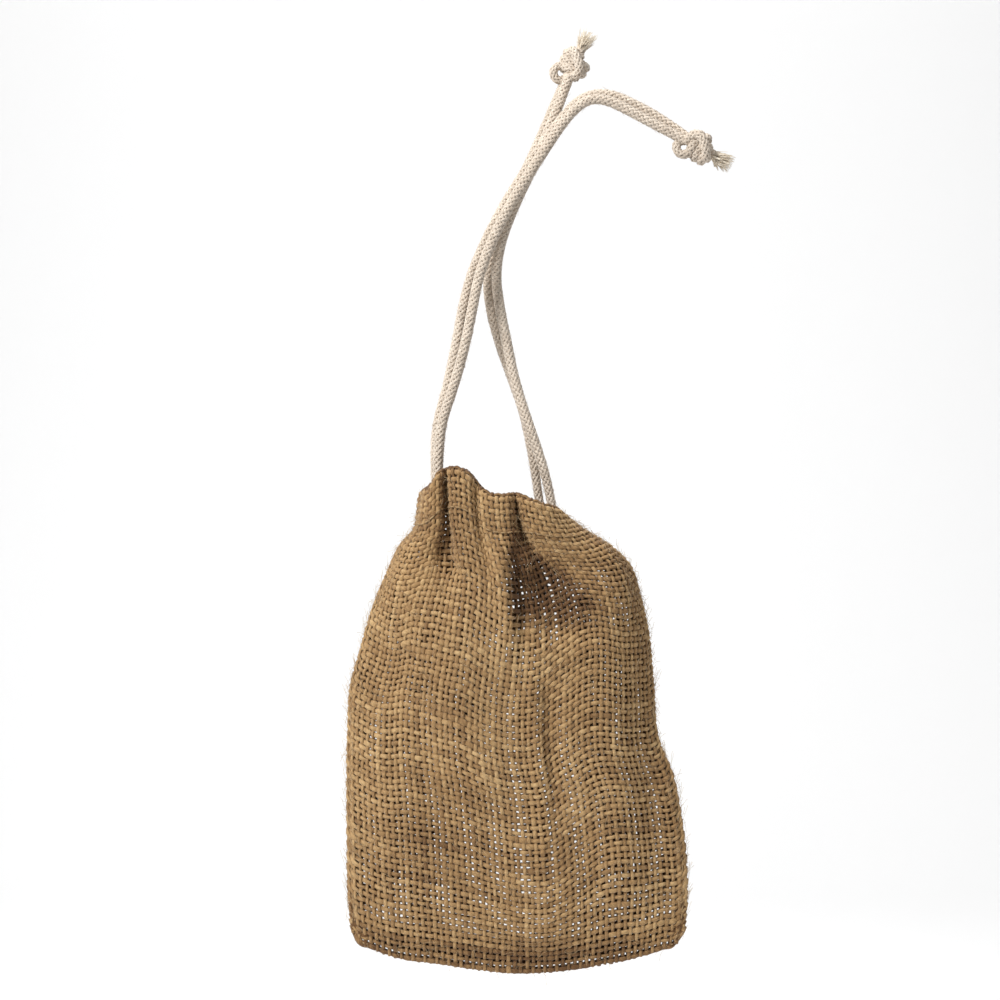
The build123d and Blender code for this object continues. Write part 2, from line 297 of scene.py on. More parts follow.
def makeStudio():
    camera = bpy.data.objects.new("camera", bpy.data.cameras.new("camera"))
    camera.data.lens = studio["lens"]
    camera.data.clip_start = 0.01
    far = studio["viewWidth"] * studio["lens"] / camera.data.sensor_width
    x, y, z = studio["aim"]
    camera.location = (x * mm, (y - far) * mm, z * mm)
    camera.rotation_euler = (math.pi / 2, 0, 0)
    bpy.context.scene.collection.objects.link(camera)
    bpy.context.scene.camera = camera

    # floor that curves up into a wall: flat, quarter circle, upright
    radius = studio["sweepRadius"]
    turn = np.linspace(0, np.pi / 2, 24)
    floor, back = studio["floorZ"], studio["backY"]
    y = np.concatenate([[studio["frontY"]], back + radius * np.sin(turn), [back + radius]])
    z = np.concatenate([[floor], floor + radius * (1 - np.cos(turn)), [floor + studio["wallHeight"]]])
    x = np.linspace(-studio["halfWidth"], studio["halfWidth"], 9)
    gridX, gridY = np.meshgrid(x, y)
    points = np.stack([gridX, gridY, np.broadcast_to(z[:, None], gridX.shape)], axis=-1).reshape(-1, 3)
    i, j = np.meshgrid(np.arange(len(y) - 1), np.arange(len(x) - 1), indexing="ij")
    a = i * len(x) + j
    quads = np.stack([a, a + 1, a + 1 + len(x), a + len(x)], axis=-1).reshape(-1, 4)
    paper = bpy.data.materials.new("paper floor")
    paper.use_nodes = True
    surface = paper.node_tree.nodes["Principled BSDF"]
    surface.inputs["Base Color"].default_value = (0.93, 0.93, 0.93, 1)
    surface.inputs["Roughness"].default_value = 0.9
    newPiece("paper_floor", paper, points, [quads])

    world = bpy.data.worlds.new("studio")
    world.use_nodes = True
    # soft light from all round, and plain white where the camera sees past the floor
    sky = world.node_tree.nodes["Background"]
    sky.inputs["Color"].default_value = (1, 1, 1, 1)
    path = world.node_tree.nodes.new("ShaderNodeLightPath")
    level = world.node_tree.nodes.new("ShaderNodeMapRange")
    level.inputs["To Min"].default_value = studio["worldLight"]
    level.inputs["To Max"].default_value = 1.0
    world.node_tree.links.new(path.outputs["Is Camera Ray"], level.inputs["Value"])
    world.node_tree.links.new(level.outputs[0], sky.inputs["Strength"])
    bpy.context.scene.world = world
    for name, (spot, size, power, aim) in studio["lights"].items():
        light = bpy.data.objects.new(name, bpy.data.lights.new(name, "AREA"))
        light.data.energy = power
        light.data.size = size * mm
        light.location = [c * mm for c in spot]
        away = np.array(spot, float) - np.array(aim, float)
        yaw = math.atan2(away[1], away[0]) + math.pi / 2
        pitch = math.acos(away[2] / np.linalg.norm(away))
        light.rotation_euler = (pitch, 0, yaw)
        bpy.context.scene.collection.objects.link(light)


makeStudio()
bpy.context.scene.view_settings.view_transform = "Standard"
print("studio made")


# Mid-line of each pair of strands from the channel exit up to the hand and on to the knot, and how far
# each strand lies beside it: (x, y, z, beside). The first point is inside the channel, the second is its
# exit. The front strand lies half a gap nearer to -Y, the back one half a gap behind.
leftRoute = [
    (-12.8, 0.0, -63.5, 0.3), (-12.9, 0.0, -54.5, 0.5), (-12.2, 0.0, -43.5, 0.7), (-8.3, -1.6, -31.5, 1.0),
    (-5.2, -3.4, -19.0, 1.4), (-3.0, -3.8, -7.0, 1.6), (-0.6, -3.8, 4.0, 1.3), (4.6, -3.8, 16.5, 0.9),
    (11.6, -3.8, 29.5, 0.8), (19.6, -3.8, 42.0, 0.8), (27.5, -3.8, 53.5, 0.6), (34.2, -3.8, 60.2, 0.8),
    (41.5, -3.9, 60.9, 1.3), (50.5, -4.1, 56.6, 1.6), (59.0, -4.3, 51.8, 1.5), (67.0, -4.7, 46.8, 0.7),
]
rightRoute = [
    (22.6, 0.0, -73.5, 1.9), (21.3, 0.0, -64.5, 1.85), (18.8, 0.0, -53.0, 0.9), (15.2, 1.8, -39.8, -0.1),
    (11.4, 3.4, -28.0, 0.3), (8.3, 3.8, -17.0, 1.1), (5.8, 3.8, -6.5, 1.5), (4.6, 3.8, 4.0, 1.3),
    (6.6, 3.8, 15.0, 0.9), (11.2, 3.8, 26.5, 0.8), (16.6, 3.8, 38.0, 0.8), (21.8, 3.8, 49.5, 0.8),
    (26.0, 3.9, 60.0, 0.6), (29.4, 4.4, 68.2, 0.3),
]
braid = {
    "diameter": 3.3, "halfGap": 1.85, "carriers": 6, "pitch": 11.0, "step": 0.42,
    "squeezed": {"left": 0.04, "right": 0.16},      # how much thinner the strands are at the mouth
    "fluff": 1.6,               # loose fibres per step
}


def strandPoints(route, sign):
    # the pair's mid-line moved by sign times halfGap in Y and by sign times beside across the pair
    points = np.array(route)
    ends = np.arange(len(points))
    chord = points[np.minimum(ends + 1, len(points) - 1)] - points[np.maximum(ends - 1, 0)]
    length = np.hypot(chord[:, 0], chord[:, 2])
    out = points[:, :3].copy()
    out[:, 0] += sign * points[:, 3] * -chord[:, 2] / length
    out[:, 1] += sign * braid["halfGap"]
    out[:, 2] += sign * points[:, 3] * chord[:, 0] / length
    return out


def splineLine(points, step):
    # NURBS spline with the route's points as its control points, read back as a line of even steps
    curve = bpy.data.curves.new("route", "CURVE")
    curve.dimensions = "3D"
    spline = curve.splines.new("NURBS")
    spline.points.add(len(points) - 1)
    for spot, point in zip(spline.points, points):
        spot.co = (*(point * mm), 1)
    spline.order_u = 3
    spline.use_endpoint_u = True
    spline.resolution_u = 24
    holder = bpy.data.objects.new("route", curve)
    mesh = bpy.data.meshes.new_from_object(holder)
    line = np.array([v.co for v in mesh.vertices]) / mm
    bpy.data.meshes.remove(mesh)
    bpy.data.curves.remove(curve)
    run = np.concatenate([[0], np.cumsum(np.linalg.norm(np.diff(line, axis=0), axis=1))])
    at = np.linspace(0, run[-1], int(run[-1] / step) + 2)
    return np.stack([np.interp(at, run, line[:, k]) for k in range(3)], axis=1), run[-1]


def carriedFrame(line):
    # two directions square to the line that turn with it as little as possible
    along = unit(np.gradient(line, axis=0))
    side = unit(np.cross(along[0], (0.3, 1.0, 0.2)))
    sides = np.empty_like(line)
    for i, direction in enumerate(along):
        side = unit(side - direction * (side @ direction))
        sides[i] = side
    return sides, np.cross(along, sides)


def braidAlong(line, radius, girth=1.0):
    # Tubular braid: half of the carriers turn one way and half the other, each over one and under one.
    # Carrier k is at angle +-2 pi s / pitch + 2 pi k / carriers, and its radius waves as it passes over
    # and under.
    carriers, pitch = braid["carriers"], braid["pitch"]
    sideways, upward = carriedFrame(line)
    run = np.concatenate([[0], np.cumsum(np.linalg.norm(np.diff(line, axis=0), axis=1))])
    girth = girth * (1 + wander(1, len(line), 0.05, 14)[0])
    body, wave = radius * 0.80 * girth, radius * 0.085
    wide, high = radius * 0.30 * girth, radius * 0.20 * girth
    parts = []
    for way in (1, -1):
        k = np.arange(carriers)
        angle = way * 2 * np.pi * run[None] / pitch + 2 * np.pi * k[:, None] / carriers
        phase = 2 * np.pi * carriers * run[None] / pitch + (0 if way == 1 else np.pi)
        reach = body + wave * np.cos(phase) + dice.normal(0, 0.02, angle.shape)
        out = np.cos(angle)[..., None] * sideways + np.sin(angle)[..., None] * upward
        centres = line[None] + reach[..., None] * out
        thick = 1 + wander(carriers, len(line), 0.08, 30)
        tone = 0.12 + 0.12 * dice.random((carriers, 1)) + wander(carriers, len(line), 0.08, 25)
        # the carriers get painted shade on their side towards the core
        parts.append(tubes(centres, out, wide * thick, high * thick, 5, tone, 0.15))
    # solid core so that no light passes through the braid
    core = np.broadcast_to(radius * 0.74 * girth, (1, len(line)))
    parts.append(tubes(line[None], upward[None], core, core, 8, np.full((1, len(line)), -0.05)))
    return joined(parts)


def fluffAlong(line, radius):
    # short cotton fibres that lean off the braid: start on its surface, length 0.8 to 2.4
    count, rings = int(len(line) * braid["fluff"]), 4
    spot = dice.integers(4, len(line) - 4, count)
    sideways, upward = carriedFrame(line)
    along = unit(np.gradient(line, axis=0))[spot]
    angle = dice.uniform(0, 2 * np.pi, (count, 1))
    out = np.cos(angle) * sideways[spot] + np.sin(angle) * upward[spot]
    around = -np.sin(angle) * sideways[spot] + np.cos(angle) * upward[spot]
    u = np.linspace(0, 1, rings)[None, :, None]
    long, lean = dice.uniform(0.8, 2.4, (count, 1, 1)), dice.uniform(-1, 1, (count, 1, 1))
    lines = (line[spot][:, None] + out[:, None] * (radius * 0.92 + long * 0.35 * u ** 1.4)
             + along[:, None] * long * lean * u
             + around[:, None] * long * 0.5 * np.sin(2.5 * u * lean + lean))
    thick = np.full((count, rings), 0.035)
    return tubes(lines, np.broadcast_to(around[:, None], lines.shape) + 0.2, thick, thick, 3,
                 0.35 + np.zeros((count, rings)))


def makeStrands():
    made = {}
    for side, route in (("left", leftRoute), ("right", rightRoute)):
        for place, sign in (("front", -1), ("back", 1)):
            line, length = splineLine(strandPoints(route, sign), braid["step"])
            name = f"{side}_{place}_strand"
            radius = braid["diameter"] / 2
            freed = smoothStep(np.linspace(0, len(line) / 80, len(line)))
            girth = 1 - braid["squeezed"][side] * (1 - freed)
            data = joined([braidAlong(line, radius, girth), fluffAlong(line, radius)])
            piece = newPiece(name, cottonYarn, *data)
            node = f"{side}_drawstring_{place}"
            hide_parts(node + "_leg", node + "_end")
            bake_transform(piece)
            made[name] = (piece, line, length)
            print(name, "length", round(length, 1))
    return made


strands = makeStrands()


# Jute cloth. Each panel is a flat cloth (s across it, t up it from the bottom seam) laid on a shape that is
# flat at the bottom, round in the belly and pleated at the rim.
cloth = {
    "width": 112.0,             # one panel, from side seam to side seam
    "height": 156.0,            # from the bottom seam to the rim
    "pitch": 2.0,               # yarn to yarn, both ways
    "warpWide": 0.60, "weftWide": 0.70, "yarnHigh": 0.38, "crimp": 0.36,
    # painted shade on the next line: darker where the yarns dip under their crossing yarns, and on their
    # inner side
    "dipShade": 0.16, "insideShade": 0.46,
    "samples": 3,               # rings per pitch
    "turnIn": 5.0,              # side seam allowance, inside
    "turnUp": 10.0,             # bottom seam allowance, inside
    "hemDepth": 12.0,
    "lattice": 2.0,
    "gathered": 48.0,           # this much below the rim the belly turns into the pleated rim curve
    "rimBand": 14.0,            # and this much takes the rim's ups and downs
    "bellyPowers": (2.3, 0.62),
    # painted shade: how much darker shadeAt makes the cloth in the hollow, the right shoulder, the neck, the
    # bottom edge and the low belly
    "darker": {"hollow": 0.44, "right": 0.12, "neck": 0.16, "edge": 0.22, "low": 0.11},
    "yarnShare": {"usual": 0.93, "belly": 0.15, "hollow": -0.13},       # of the full width of a yarn
    "seamTop": 14.0,            # the seams' turned edges and stitching end this far below the rim
}
leftSeam = [(-40.6, -204.5), (-41.6, -193), (-41.8, -181), (-41.9, -158.7), (-41.6, -142.4), (-40.4, -125.8),
            (-37.8, -117), (-34.7, -105.9), (-29.6, -92.8), (-24.0, -81.6), (-19.6, -77.0), (-17.9, -70.7),
            (-16.5, -62.5)]
rightSeam = [(67.2, -205), (68.0, -195), (67.5, -180.8), (65.9, -167.7), (63, -154.4), (59.2, -145.6),
             (57, -125.8), (55.4, -110.4), (52.7, -98.2), (49.9, -89.3), (43.6, -82.9), (35.6, -78.2),
             (29.2, -75.6), (26.5, -71.5)]
bottomEdge = [(-40.6, -204.5), (-38.8, -208.5), (-34, -211.3), (-10, -216.4), (14, -219), (38, -216.8),
              (59, -211.8), (65, -209.2), (67.2, -205)]
rimTop = [(-17, -65.5), (-15, -63.4), (-11.8, -60.0), (-6.4, -58.2), (-2.4, -60.4), (1.4, -64.8), (7, -66.9),
          (11.4, -66.6), (17.9, -68.6), (25.6, -71.8), (28, -72.6)]
depthAt = [(-218, 1.9), (-213, 2.6), (-205, 4.6), (-185, 8.0), (-158, 11.0), (-126, 14.0), (-106, 16.0),
           (-94, 16.5), (-80, 16.0), (-60, 15.0)]
frontRim = [(-15.6, 0), (-16.0, 5), (-15.8, 10.5), (-13.6, 14.2), (-11.0, 13.6), (-10.0, 10), (-9.2, 7.7),
            (-8.7, 10), (-8.3, 13.4), (-5.6, 15.8), (-1.5, 15.2), (-0.1, 13.2), (1.2, 15), (5.4, 16.2),
            (9.8, 15.4), (11.5, 12), (12.0, 7.8), (12.5, 11), (13.4, 14.2), (16.6, 15.6), (21.6, 14.2),
            (25.4, 9.5), (26.6, 4), (26.0, 0)]
backRim = [(-16.5, 0), (-17.6, 5), (-16, 11), (-12, 14.8), (-7.4, 14.8), (-5.6, 11.6), (-5, 8.6),
           (-4.4, 11.6), (-2.6, 14.8), (1, 15.6), (5.4, 15), (6.8, 12), (7.4, 8.8), (8.0, 12), (9.6, 15),
           (14, 15.6), (18, 14), (19.4, 11.4), (20, 9.8), (20.6, 11.2), (22.6, 12.4), (25.6, 9.4),
           (27.2, 4), (26.5, 0)]
# folds and creases pressed into the cloth: (x, z) where each starts and ends, half width, height outward
frontFolds = [
    # the hollow on the right and the lobes beside it
    ((12.4, -86), (14.6, -106), 2.4, -3.0), ((20.0, -92), (24.5, -106), 8.0, -5.2),
    ((8.0, -84), (10.2, -112), 3.2, 2.0), ((40, -84), (47, -104), 6.0, 1.6),
    # pleat under the left lobe
    ((-9.4, -82), (-8.0, -90), 2.6, -1.6), ((-14, -86), (-3, -92), 4.5, -2.0),
    # crease down the middle
    ((17.4, -122), (21.8, -176), 1.5, 1.0), ((22.6, -130), (25.5, -166), 3.2, -1.6),
    # right side, left side, bottom
    ((38, -94), (46.5, -192), 7.5, 2.2), ((56, -126), (60, -165), 5.0, -1.6),
    ((-22, -92), (4, -160), 8.0, 1.7), ((-33, -112), (-10, -178), 9.0, -1.6),
    ((31, -174), (44, -202), 7.0, -1.4), ((-30, -186), (6, -204), 6.0, 0.9),
]
backFolds = [
    ((-4, -88), (0, -106), 3.0, -2.6), ((8, -90), (13, -104), 3.5, -2.6), ((22, -92), (30, -104), 4.0, -1.8),
    ((-20, -100), (-8, -170), 8.0, 1.8), ((4, -112), (10, -180), 4.0, -1.4),
    ((40, -100), (44, -180), 8.0, 1.6),
]
# how far the weft rows are pulled up their warps across the belly, by s
rowLift = [(-56, 3.0), (-34, 1.2), (-14, -1.8), (4, -4.4), (10, -4.6), (20, 0.0), (31, 5.2), (43, 3.2),
           (56, -0.5)]


def alongList(points, count):
    # the smooth curve through the points, at evenly spaced places along it
    points = np.array(points, float)
    keys = np.concatenate([[0], np.cumsum(np.linalg.norm(np.diff(points, axis=0), axis=1))])
    fine = throughPoints(keys / keys[-1], points, np.linspace(0, 1, 1200))
    run = np.concatenate([[0], np.cumsum(np.linalg.norm(np.diff(fine, axis=0), axis=1))])
    at = np.linspace(0, run[-1], count)
    return np.stack([np.interp(at, run, fine[:, k]) for k in range(fine.shape[1])], axis=1)


def panelShape(face, rim, folds):
    # Lattice (rows up t, columns across s) of panel points. Belly section: y = depth (1 - |v|^a)^b, v from -1
    # at the left seam to 1 at the right, spaced evenly along its arc; it turns into the pleated rim curve
    # over its gathered top. Then each column is spaced evenly along its own length.
    half, height, step = cloth["width"] / 2, cloth["height"], cloth["lattice"]
    columns, rows = int(cloth["width"] / step) + 1, 240
    left, right = alongList(leftSeam, rows) + (0.5, 0), alongList(rightSeam, rows) - (0.8, 0)
    rimCurve = alongList(rim, columns)
    share = np.linspace(0, 1, columns)
    bottom, top = np.array(bottomEdge, float), np.array(rimTop, float)
    depthKeys = np.array(depthAt, float)
    v = -np.cos(np.linspace(0, np.pi, 400))
    flatness, roundness = cloth["bellyPowers"]
    bulge = np.maximum(1 - np.abs(v) ** flatness, 0) ** roundness
    grid = np.empty((rows, columns, 3))
    for r in range(rows):
        up = r / (rows - 1)
        (leftX, leftZ), (rightX, rightZ) = left[r], right[r]
        middle = (leftZ + rightZ) / 2 - 12 * (1 - up) ** 2
        depth = throughPoints(depthKeys[:, 0], depthKeys[:, 1], middle)
        x, y = leftX + (rightX - leftX) * (v + 1) / 2, depth * bulge
        run = np.concatenate([[0], np.cumsum(np.hypot(np.diff(x), np.diff(y)))])
        x, y = (np.interp(share * run[-1], run, values) for values in (x, y))
        gather = smoothStep(1 - (1 - up) * height / cloth["gathered"])
        rimAcross = (rimCurve[:, 0] - rimCurve[0, 0]) / (rimCurve[-1, 0] - rimCurve[0, 0])
        spread = leftX + (rightX - leftX) * rimAcross
        rimX = rimCurve[:, 0] + (spread - rimCurve[:, 0]) * np.abs(2 * share - 1) ** 2.2
        x = x + (rimX - x) * gather
        y = y + (rimCurve[:, 1] - y) * gather
        across = np.clip((x - leftX) / (rightX - leftX), 0, 1)
        level = leftZ + (rightZ - leftZ) * across
        bottomX = bottom[0, 0] + (bottom[-1, 0] - bottom[0, 0]) * across
        lowest = throughPoints(bottom[:, 0], bottom[:, 1], bottomX)
        chord = bottom[0, 1] + (bottom[-1, 1] - bottom[0, 1]) * across
        highest = throughPoints(top[:, 0], top[:, 1], x)
        atRim = smoothStep(1 - (1 - up) * height / cloth["rimBand"])
        z = level + (lowest - chord) * (1 - up) ** 1.5 + (highest - level) * atRim
        grid[r] = np.stack([x, face * y, z], axis=1)
    # even spacing up each column
    run = np.concatenate([np.zeros((1, columns)),
                          np.cumsum(np.linalg.norm(np.diff(grid, axis=0), axis=2), axis=0)])
    levels = int(height / step) + 1
    even = np.linspace(0, 1, levels)
    lift = np.array(rowLift, float)
    pulled = (throughPoints(lift[:, 0], face * -lift[:, 1], np.linspace(-half, half, columns))
              * (smoothStep(even / 0.22) * smoothStep((0.95 - even) / 0.35))[:, None])
    at = even[:, None] * run[-1] + np.where(face < 0, 1.0, 0.35) * pulled
    shape = np.stack([np.stack([np.interp(at[:, c], run[:, c], grid[:, c, k]) for c in range(columns)], 1)
                      for k in range(3)], axis=2)
    s = np.linspace(-half, half, columns)[None]
    t = (even * height)[:, None]
    push = np.zeros((levels, columns))
    x, z = shape[..., 0], shape[..., 2]
    for (x0, z0), (x1, z1), wide, high in folds:
        along = np.clip((z0 - z) / (z0 - z1), 0, 1)
        aside = (x - (x0 + (x1 - x0) * along)) / wide
        ends = smoothStep((z0 + 8 - z) / 12) * smoothStep((z - z1 + 12) / 20)
        push += high * np.exp(-aside ** 2) * ends
    waves = dice.uniform(0, 6.3, 6)
    push += (0.5 * np.sin(s / 9 + waves[0] + 2.0 * np.sin(t / 31 + waves[1]))
             + 0.35 * np.sin(t / 11 + s / 17 + waves[2]) + 0.25 * np.sin(s / 5.1 + t / 23 + waves[3]))
    edge = smoothStep((half - np.abs(s)) / 12) * smoothStep(t / 18)
    outward = unit(np.cross(np.gradient(shape, axis=1), np.gradient(shape, axis=0)))
    outward = outward * np.sign(outward[..., 1:2].mean() * face)
    shape = shape + outward * (push * edge)[..., None]
    return shape


def turnedIn(shape, face):
    # adds the allowances: a strip along each side seam that points inwards, and the bottom turned up inside
    step = cloth["lattice"]
    extra = int(round(cloth["turnIn"] / step + 0.5))
    sides = []
    for column, way in ((0, 1), (-1, -1)):
        seam = shape[:, column]
        along = np.gradient(seam, axis=0)
        flat = unit(np.stack([way * along[:, 2], np.zeros(len(seam)), -way * along[:, 0]], axis=1))
        strip = np.stack([seam + flat * step * k + np.array([0, face * min(0.85, 0.5 * k), 0])
                          for k in range(1, extra + 1)], axis=1)
        sides.append(strip)
    wide = np.concatenate([sides[0][:, ::-1], shape, sides[1]], axis=1)
    up = int(cloth["turnUp"] / step)
    inside = wide[1:up + 1].copy()
    reach = 1.5 * smoothStep(np.arange(1, up + 1) * step / 2.5)[:, None]
    depth = np.abs(inside[..., 1])
    inside[..., 1] = face * np.where(depth > 1.0, np.maximum(depth - reach, 0.4), depth)
    inside[..., 2] += 0.4
    return np.concatenate([inside[::-1], wide], axis=0), extra, up


def cubicWeights(at, count):
    # rows of weights that read a smooth curve, and its slope, through evenly spaced values at any places
    at = np.clip(at, 0, count - 1)
    i = np.minimum(at.astype(int), count - 2)
    u = at - i
    value = [-0.5 * u + u ** 2 - 0.5 * u ** 3, 1 - 2.5 * u ** 2 + 1.5 * u ** 3,
             0.5 * u + 2 * u ** 2 - 1.5 * u ** 3, -0.5 * u ** 2 + 0.5 * u ** 3]
    slope = [-0.5 + 2 * u - 1.5 * u ** 2, -5 * u + 4.5 * u ** 2,
             0.5 + 4 * u - 4.5 * u ** 2, -u + 1.5 * u ** 2]
    both = []
    for parts in (value, slope):
        weights = np.zeros((len(at), count))
        for k, part in enumerate(parts):
            np.add.at(weights, (np.arange(len(at)), np.clip(i + k - 1, 0, count - 1)), part)
        both.append(weights)
    return both


def clothAt(sheet, s, t):
    # points, directions across and up, and outward direction at every pair of s and t: (len(s), len(t), 3)
    shape, face = sheet["shape"], sheet["face"]
    (s0, t0), (stepS, stepT) = sheet["corner"], sheet["step"]
    inS, inSlopeS = cubicWeights((np.asarray(s) - s0) / stepS, shape.shape[1])
    inT, inSlopeT = cubicWeights((np.asarray(t) - t0) / stepT, shape.shape[0])
    read = lambda a, b: np.einsum("at,tsk,bs->bak", a, shape, b, optimize=True)
    across, up = unit(read(inT, inSlopeS)), unit(read(inSlopeT, inS))
    return read(inT, inS), across, up, unit(np.cross(across, up)) * -face


def hollowMask(x, z):
    # 1 in the hollow under the right shoulder: below a line that falls to the right, right of the middle lobe
    below = -75 - 0.8 * (x - 10.5) - z
    return (smoothStep((x - 9.8) / 2.4) * smoothStep((42 - x) / 16) * smoothStep((below + 2) / 9)
            * smoothStep((z + 113) / 13))


def shadeAt(centre):
    # a darker tone where folds and inner layers shade the cloth: hollow, neck, bottom edge
    x, y, z = centre[..., 0], centre[..., 1], centre[..., 2]
    hollow = hollowMask(x, z) * smoothStep(-y / 6)
    right = np.exp(-((x - 40) / 11) ** 2 - ((z + 93) / 13) ** 2)
    neck = (np.exp(-((x + 10) / 6) ** 2 - ((z + 82) / 8) ** 2)
            + 0.5 * smoothStep((-4 - x) / 3) * smoothStep((z + 84) / 8)
            + 0.8 * np.exp(-((x - 11.5) / 2.5) ** 2 - ((z + 82) / 12) ** 2))
    edge = smoothStep((-204 - z) / 10)
    low = np.exp(-((x + 8) / 26) ** 2 - ((z + 178) / 16) ** 2)
    darker = cloth["darker"]
    return (darker["hollow"] * hollow + darker["right"] * right + darker["neck"] * neck
            + darker["edge"] * edge + darker["low"] * low)


def openness(centre):
    # how much of their full width the yarns have: most on the left of the belly, least at the hollow
    x, z = centre[..., 0], centre[..., 2]
    tight = np.exp(-((x + 14) / 36) ** 2 - ((z + 128) / 44) ** 2)
    loose = 0.6 * np.exp(-((x - 36) / 16) ** 2 - ((z + 98) / 18) ** 2) + hollowMask(x, z)
    share = cloth["yarnShare"]
    return share["usual"] + share["belly"] * tight + share["hollow"] * loose


def yarnFamily(sheet, way, places, ends, thin=1.0):
    # Yarns at the given places, all along one way of the cloth. Height above the sheet = crimp cos(pi run /
    # pitch), up and down in turn, with slow random wander, slubs and a tone for each yarn.
    pitch, crimp = cloth["pitch"], cloth["crimp"]
    count = int((ends[1] - ends[0]) / pitch * cloth["samples"]) + 1
    run = np.linspace(*ends, count)
    places = np.asarray(places, float)
    firstWarp, firstWeft = sheet["grid"]
    if way == "warp":
        centre, aside, up, out = clothAt(sheet, places, run)
        origin, sign, wide = firstWeft, 1, cloth["warpWide"]
        number = np.round((places - firstWarp) / pitch - 0.5)
    else:
        centre, across, aside, out = (np.swapaxes(a, 0, 1) for a in clothAt(sheet, run, places))
        origin, sign, wide = firstWarp, -1, cloth["weftWide"]
        number = np.round((places - firstWeft) / pitch - 0.5)
    height = sign * crimp * np.cos(np.pi * ((run[None] - origin) / pitch - 0.5) + np.pi * number[:, None])
    yarns = len(places)
    centre = centre + out * height[..., None] + aside * wander(yarns, count, 0.16, 24)[..., None]
    thick = (thin * dice.uniform(0.86, 1.16, (yarns, 1)) * (1 + wander(yarns, count, 0.16, 30))
             * (1 + 0.30 * np.maximum(wander(yarns, count, 1.0, 16) - 0.62, 0) / 0.38))
    tone = 0.12 + 0.26 * dice.random((yarns, 1)) + wander(yarns, count, 0.10, 22)
    # painted shade: lower tone where the yarn dips under its crossing yarns, and where shadeAt paints the
    # shade of folds
    tone = tone - cloth["dipShade"] * (0.5 - 0.5 * height / crimp) - shadeAt(centre)     # darker where it dips
    thick = thick * openness(centre)
    # painted shade: the side of each yarn away from the cloth's outward direction gets a lower tone
    return tubes(centre, out, wide * thick, cloth["yarnHigh"] * np.sqrt(thick), 6, tone, cloth["insideShade"])


def makePanel(name, face, rim, folds):
    shape = panelShape(face, rim, folds)
    wide, first, below = turnedIn(shape, face)
    half, height, pitch, step = cloth["width"] / 2, cloth["height"], cloth["pitch"], cloth["lattice"]
    sheet = {"shape": wide, "face": face, "corner": (-half - first * step, -below * step),
             "step": (step, step), "grid": (-half, 0.0), "rim": shape[-1]}
    warpPlaces = np.arange(-half + pitch / 2, half, pitch)
    weftPlaces = np.arange(pitch / 2, height, pitch)
    warp = yarnFamily(sheet, "warp", warpPlaces, (-cloth["turnUp"] + 0.5, height))
    reach = half + cloth["turnIn"] - 0.5
    weft = yarnFamily(sheet, "weft", weftPlaces, (-reach, reach))
    return (sheet, addPiece(name + "_warp", warp, juteYarn, "pouch", "jute_cloth", name),
            addPiece(name + "_weft", weft, juteYarn, "pouch", "jute_cloth"))


panels = {}
for panelName, panelFace, panelRim, panelFolds in (("front_panel", -1, frontRim, frontFolds),
                                                   ("back_panel", 1, backRim, backFolds)):
    panels[panelName] = makePanel(panelName, panelFace, panelRim, panelFolds)
print("panels woven")

# Hem: the cloth goes over the rim and down inside. How far it has come inwards and down, mm by mm.
hem = {
    "inward": (0.0, 1.0, 2.4, 4.0, 5.8, 7.6, 9.4, 11.0, 12.0, 12.0, 12.0, 12.0, 12.0),
    "drop": (-0.2, 0.5, 0.4, 0.0, -0.5, -1.1, -1.8, -2.8, -4.0, -5.4, -6.8, -8.2, -9.6),
    "innerLine": ((-14.6, 0), (-15.2, 4.2), (-13.4, 6.8), (-10.2, 5.4), (-8, 3.4), (-4, 2.9), (5, 3.2),
                  (13, 2.9), (16.4, 3.6), (18.8, 6), (22.6, 7.4), (24.8, 4.2), (24.4, 0)),
    "yarns": 46,
}


def makeHem(name, sheet):
    # row k = rim point moved by inward[k] towards the inner line, at most onto it, and by drop[k] in Z
    face, rim, pitch = sheet["face"], sheet["rim"], cloth["pitch"]
    columns = hem["yarns"] + 1
    outer = np.stack([np.interp(np.linspace(0, 1, columns), np.linspace(0, 1, len(rim)), rim[:, k])
                      for k in range(3)], axis=1)
    inner = alongList(hem["innerLine"], columns) * (1, face)
    toward = np.concatenate([inner - outer[:, :2], np.zeros((columns, 1))], axis=1)
    far = np.linalg.norm(toward, axis=1)
    reach = np.minimum(np.array(hem["inward"])[:, None], far[None])
    shape = outer[None] + (reach / far)[..., None] * toward[None]
    shape[..., 2] += np.array(hem["drop"])[:, None]
    width = hem["yarns"] * pitch
    strip = {"shape": shape, "face": -face, "corner": (0.0, 0.0), "step": (pitch, 1.0), "grid": (0.0, 0.0)}
    warp = yarnFamily(strip, "warp", np.arange(pitch / 2, width, pitch), (0.0, cloth["hemDepth"]), 0.9)
    weft = yarnFamily(strip, "weft", np.arange(pitch / 2, cloth["hemDepth"], pitch), (0.2, width - 0.2), 0.9)
    return addPiece(name + "_yarns", joined([warp, weft]), juteYarn, "pouch", "jute_turned_edge", name)


hems = {side: makeHem(side + "_channel_hem", panels[side + "_panel"][0]) for side in ("front", "back")}


